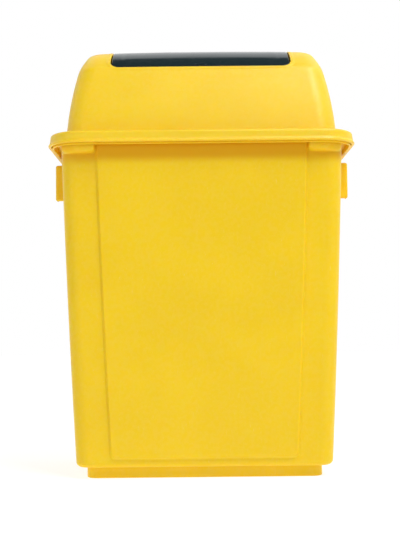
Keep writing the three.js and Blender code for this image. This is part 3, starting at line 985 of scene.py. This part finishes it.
def painted_rim_shade(nodes):
    """A mask of painted shade on the walls just below the rim, where the lid keeps light off; a deeper
    orange is painted in there.
    """
    place = nodes.add("ShaderNodeTexCoord").outputs["Object"]
    parts = nodes.add("ShaderNodeSeparateXYZ", {"Vector": place}).outputs

    def between(value, low, high, to_low=0.0, to_high=1.0):
        return nodes.ramp(value, low * MM, high * MM, to_low, to_high)

    fade_bottom, fade_top = RIM_BOTTOM - 27.0, RIM_BOTTOM - 12.0
    height = between(parts["Z"], fade_bottom, fade_top)
    depth = nodes.maths("ABSOLUTE", parts["Y"], 0.0)
    panel = tub_half_depth(RIM_BOTTOM) + PANEL_PROUD
    behind = between(depth, panel + 0.8, panel + 2.5, 1.0, 0.3)
    side_share = between(depth, panel - 30.0, panel - 12.0, 0.15, 0.85)
    shaded_walls = nodes.maths("MULTIPLY", height, nodes.maths("MULTIPLY", behind, side_share))
    # The shoulders stand out into the light, so they get only a quarter of the painted shade.
    across = nodes.maths("ABSOLUTE", parts["X"], 0.0)
    post = panel_half_width(RIM_BOTTOM)
    on_post = between(across, post - 2.0, post + 1.0)
    edge = RIM_BOTTOM - SHOULDER_HEIGHT
    on_shoulder = nodes.maths("MULTIPLY", on_post, between(parts["Z"], edge - 0.5, edge + 1.5))
    shoulder_share = 0.25
    bare = nodes.ramp(on_shoulder, 0.0, 1.0, 1.0, shoulder_share)
    return nodes.maths("MULTIPLY", shaded_walls, bare)


def turned_steel(name):
    """Bright steel with fine turning lines round the pin's axis."""
    nodes = Nodes(name)
    lines = nodes.noise(1.0, 2.0, 0.5, nodes.coordinates((2600.0, 40.0, 40.0)))
    base = nodes.mix(nodes.ramp(lines, 0.3, 0.7), (0.52, 0.53, 0.55, 1.0), (0.7, 0.7, 0.71, 1.0))
    nodes.link(base, nodes.shader.inputs["Base Color"])
    nodes.shader.inputs["Metallic"].default_value = 1.0
    nodes.link(nodes.ramp(lines, 0.2, 0.8, 0.22, 0.4), nodes.shader.inputs["Roughness"])
    bump = nodes.add("ShaderNodeBump", {"Height": lines, "Strength": 0.2, "Distance": 0.0001})
    nodes.link(bump.outputs["Normal"], nodes.shader.inputs["Normal"])
    return nodes.material


# ---- Stage, light and camera ----
FRONT_BACKDROP = 0.62
FRONT_BACKDROP_TOP = 0.34
REAR_BACKDROP_TOP = 0.8
CEILING = 0.1
NEAR_FLOOR_GLOW = 0.78


def build_floor():
    """A wide round floor. Far from the bin it glows like the backdrop, which hides the front horizon."""
    radius, sides = 9000.0, 96
    turn = np.linspace(0.0, 2 * math.pi, sides, endpoint=False)
    ring = np.stack([radius * np.cos(turn), radius * np.sin(turn), np.zeros(sides)], axis=1)
    points, faces = stack([ring * 0.02, ring * 0.1, ring * 0.4, ring], cap_first=True)
    faces = [face[::-1] for face in faces]
    nodes = Nodes("pale_floor")
    place = nodes.add("ShaderNodeTexCoord").outputs["Object"]
    distance = nodes.add("ShaderNodeVectorMath", {0: place}, operation="LENGTH").outputs["Value"]
    glow_start, glow_full = 0.5, 2.4
    far = nodes.ramp(distance, glow_start, glow_full)
    depth = nodes.add("ShaderNodeSeparateXYZ", {"Vector": place}).outputs["Y"]
    wall = nodes.ramp(depth, -2.2, 2.2, FRONT_BACKDROP, 1.0)
    tint = nodes.mix(nodes.noise(3.0), (0.36, 0.36, 0.36, 1.0), (0.39, 0.39, 0.39, 1.0))
    nodes.link(nodes.mix(far, tint, (0.0, 0.0, 0.0, 1.0)), nodes.shader.inputs["Base Color"])
    near = nodes.maths("MULTIPLY", nodes.maths("SUBTRACT", 1.0, far), NEAR_FLOOR_GLOW)
    glow = nodes.maths("ADD", nodes.maths("MULTIPLY", far, wall), near)
    nodes.link(glow, nodes.shader.inputs["Emission Strength"])
    nodes.shader.inputs["Emission Color"].default_value = (1.0, 1.0, 1.0, 1.0)
    nodes.shader.inputs["Roughness"].default_value = 0.9
    nodes.shader.inputs["Specular IOR Level"].default_value = 0.1
    floor = new_mesh_object("floor", points, faces, nodes.material)
    return floor


def area_light(name, place, aim, size, power):
    data = bpy.data.lights.new(name, "AREA")
    data.shape = "RECTANGLE"
    data.size, data.size_y = size
    data.energy = power
    light = bpy.data.objects.new(name, data)
    light.location = place
    light.rotation_euler = (Vector(aim) - Vector(place)).to_track_quat("-Z", "Y").to_euler()
    bpy.context.scene.collection.objects.link(light)
    return light


def build_backdrop():
    """A surround that is white behind the bin and grey and lower in front of it, under a dark ceiling."""
    world = bpy.data.worlds.new("studio")
    world.use_nodes = True
    tree = world.node_tree
    background = tree.nodes["Background"]
    place = tree.nodes.new("ShaderNodeTexCoord")
    parts = tree.nodes.new("ShaderNodeSeparateXYZ")
    tree.links.new(place.outputs["Generated"], parts.inputs["Vector"])

    def ramp(value, low, high, to_low, to_high):
        node = tree.nodes.new("ShaderNodeMapRange")
        node.interpolation_type = "SMOOTHSTEP"
        for key, number in (("From Min", low), ("From Max", high), ("To Min", to_low), ("To Max", to_high)):
            node.inputs[key].default_value = number
        tree.links.new(value, node.inputs["Value"])
        return node.outputs["Result"]

    edge = ramp(parts.outputs["Y"], -0.3, 0.3, FRONT_BACKDROP_TOP, REAR_BACKDROP_TOP)
    wall = ramp(parts.outputs["Y"], -0.5, 0.5, FRONT_BACKDROP, 1.0)
    above = tree.nodes.new("ShaderNodeMath")
    above.operation = "SUBTRACT"
    tree.links.new(parts.outputs["Z"], above.inputs[0])
    tree.links.new(edge, above.inputs[1])
    strength = ramp(above.outputs["Value"], -0.03, 0.03, 1.0, CEILING)
    tree.links.new(wall, strength.node.inputs["To Min"])
    tree.links.new(strength, background.inputs["Strength"])
    background.inputs["Color"].default_value = (1.0, 1.0, 1.0, 1.0)
    bpy.context.scene.world = world


def build_light():
    build_backdrop()
    centre = (0.0, 0.0, 0.35)
    area_light("key", place=(1.2, -1.6, 2.9), aim=centre, size=(1.3, 1.1), power=65.0)
    area_light("fill", place=(-1.7, -2.0, 1.3), aim=centre, size=(1.4, 1.4), power=8.0)
    area_light("top", place=(0.5, -0.3, 2.3), aim=centre, size=(1.2, 0.9), power=6.0)
    area_light("side", place=(1.5, 0.3, 2.5), aim=centre, size=(0.9, 0.9), power=8.0)


def build_camera():
    """The camera stands in front, a little left of centre, low and tilted slightly up."""
    distance, eye_level, off_centre = 1.4165, 0.1965, -0.0065
    data = bpy.data.cameras.new("camera")
    data.sensor_width = 36.0
    data.lens = 71.5
    camera = bpy.data.objects.new("camera", data)
    camera.location = (off_centre, float(hood_low[1]) * MM - distance, eye_level)
    pitch, yaw, roll = math.radians(3.635), math.radians(0.105), math.radians(0.6)
    look = Euler((math.pi / 2 + pitch, 0.0, -yaw), "XYZ").to_matrix()
    camera.rotation_euler = (look @ Euler((0.0, 0.0, -roll), "XYZ").to_matrix()).to_euler()
    bpy.context.scene.collection.objects.link(camera)
    bpy.context.scene.camera = camera


# ---- Assembly ----
YELLOW = (0.93, 0.6, 0.006)
# Painted shade: the deeper orange mixed into the tub's colour just below the rim, where the lid shades the
# wall.
SHADE_ORANGE = (0.8, 0.39, 0.0, 1.0)
SLATE = (0.006, 0.017, 0.02)
COOL_SHEEN = (0.7, 0.88, 1.0, 1.0)

# The tub's plastic has painted shade mixed in just below the rim.
tub_plastic = moulded_plastic(
    "tub_yellow", YELLOW, roughness=0.36, wear=0.5, grain=0.12, gloss=0.22, glow=0.3, painted_shade=painted_rim_shade
)
hood_plastic = moulded_plastic(
    "hood_yellow", YELLOW, roughness=0.42, wear=0.25, grain=0.1, gloss=0.46, glow=0.3
)
flap_plastic = moulded_plastic(
    "flap_slate", SLATE, roughness=0.11, wear=0.25, grain=0.01, gloss=0.24,
    waves=0.015, gloss_tint=COOL_SHEEN, paling=0.06,
)
pin_steel = turned_steel("pin_steel")

build_tub(tub_plastic)
build_hood(hood_plastic)
build_flap(flap_plastic)
build_flap_mark(flap_plastic)
for side in (-1, 1):
    build_grip(side, tub_plastic)
    build_hanger_ear(side, hood_plastic)
    build_flap_boss(side, flap_plastic)
for name in ("pivot_pin_left", "pivot_pin_right"):
    pin = frame["nodes"][name]
    pin.data.materials.clear()
    pin.data.materials.append(pin_steel)

build_floor()
build_light()
build_camera()
bpy.context.scene.view_settings.view_transform = "Standard"
